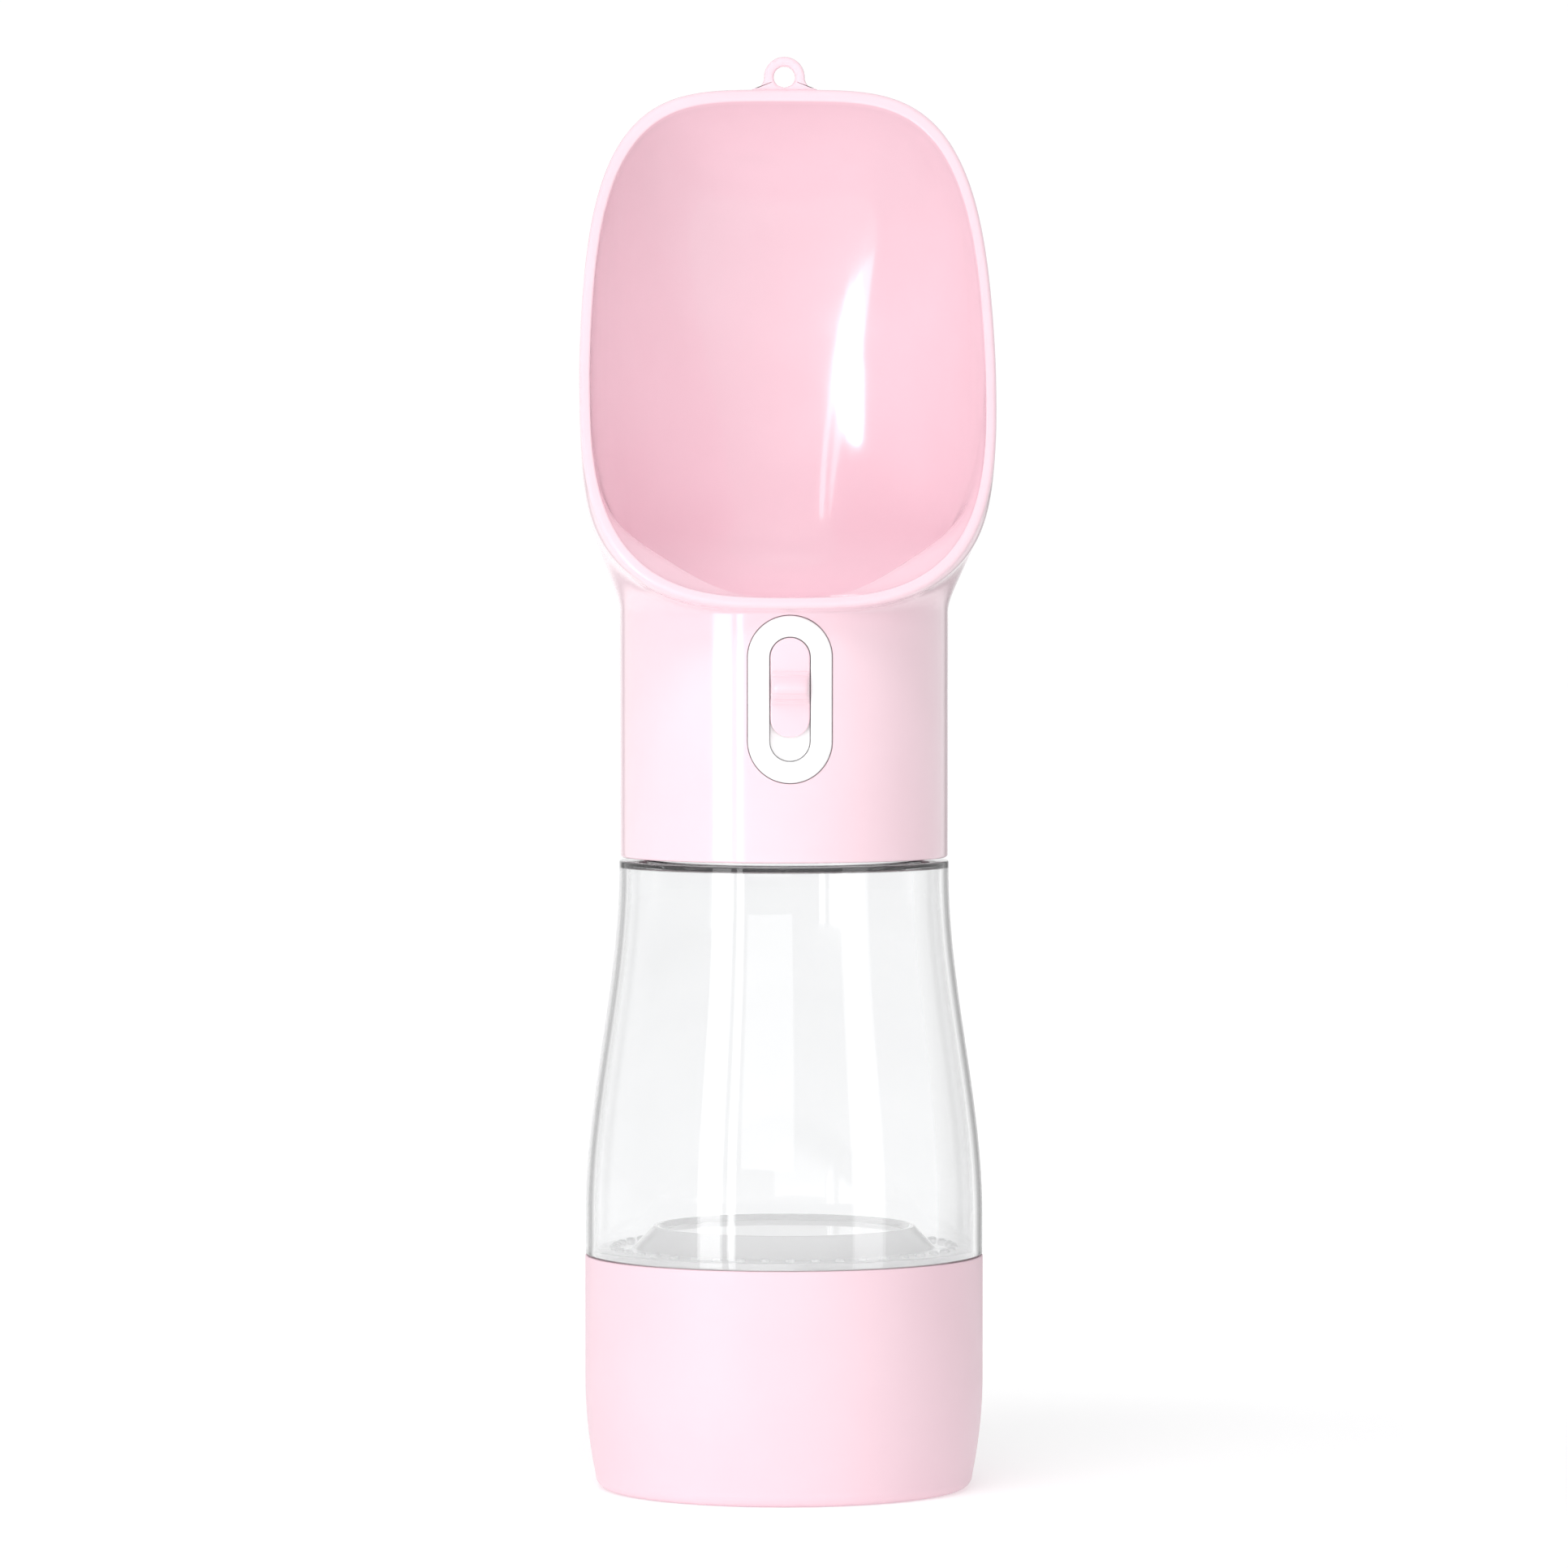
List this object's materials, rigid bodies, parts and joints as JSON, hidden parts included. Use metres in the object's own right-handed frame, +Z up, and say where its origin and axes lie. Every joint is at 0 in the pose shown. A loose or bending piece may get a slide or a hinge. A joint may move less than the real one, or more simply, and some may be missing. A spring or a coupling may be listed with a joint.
{
  "type": "dog travel water bottle",
  "caption": "Clear travel bottle with a scoop-shaped drinking bowl, a press valve with a lock slider, and a screw-on food cup.",
  "frame": {"origin": "centre of the underside of the food cup", "axes": "+Z up along the bottle's axis, the bowl and the switch face -Y, +X to the right as seen from the front"},
  "size_m": [0.072, 0.0698, 0.2502],
  "materials": {
    "pink_gloss": "gloss",
    "pink_satin": "satin",
    "white_plastic": "gloss",
    "clear_plastic": "clear gloss",
    "silicone": "matte",
    "spring_steel": "bright"
  },
  "bodies": {
    "food_cup": {"food_cup": "pink_satin"},
    "food_seal": {"food_gasket": "silicone"},
    "bottle": {"water_bottle": "clear_plastic", "bottle_base": "clear_plastic"},
    "neck_seal": {"neck_gasket": "silicone"},
    "head": {"head_shell": "pink_gloss", "switch_plate": "white_plastic", "valve_body": "white_plastic", "outlet_seal": "silicone", "gland_ring": "white_plastic", "stem_o_ring": "silicone", "valve_end_cap": "white_plastic", "cap_o_ring": "silicone", "deck_screws": "spring_steel", "valve_spring": "spring_steel"},
    "key": {"press_key": "white_plastic", "valve_poppet": "white_plastic", "poppet_seal": "silicone"},
    "slider": {"lock_slider": "pink_gloss", "detent_spring": "spring_steel"}
  },
  "joints": [
    {"name": "bottle_lift", "type": "slide", "parent": "food_cup", "child": "food_seal", "axis": [0, 0, 1], "range_m": [0, 0.01]},
    {"name": "bottle_unscrew", "type": "hinge", "parent": "food_seal", "child": "bottle", "pos_m": [0, 0, 0.035], "axis": [0, 0, 1], "range_deg": [0, 900]},
    {"name": "head_lift", "type": "slide", "parent": "bottle", "child": "neck_seal", "axis": [0, 0, 1], "range_m": [0, 0.01]},
    {"name": "head_unscrew", "type": "hinge", "parent": "neck_seal", "child": "head", "pos_m": [0, 0, 0.122], "axis": [0, 0, 1], "range_deg": [0, 900]},
    {"name": "key_press", "type": "slide", "parent": "head", "child": "key", "axis": [0, 1, 0], "range_m": [0, 0.0025], "stiffness_N_per_m": 600, "springref_m": -0.003, "deforming": ["valve_spring"]},
    {"name": "lock_slide", "type": "slide", "parent": "key", "child": "slider", "axis": [0, 0, -1], "range_m": [0, 0.0041]}
  ],
  "couplings": [
    {"joint": "bottle_lift", "follows": "bottle_unscrew", "m_per_rad": 0.00063662},
    {"joint": "head_lift", "follows": "head_unscrew", "m_per_rad": 0.00063662}
  ]
}
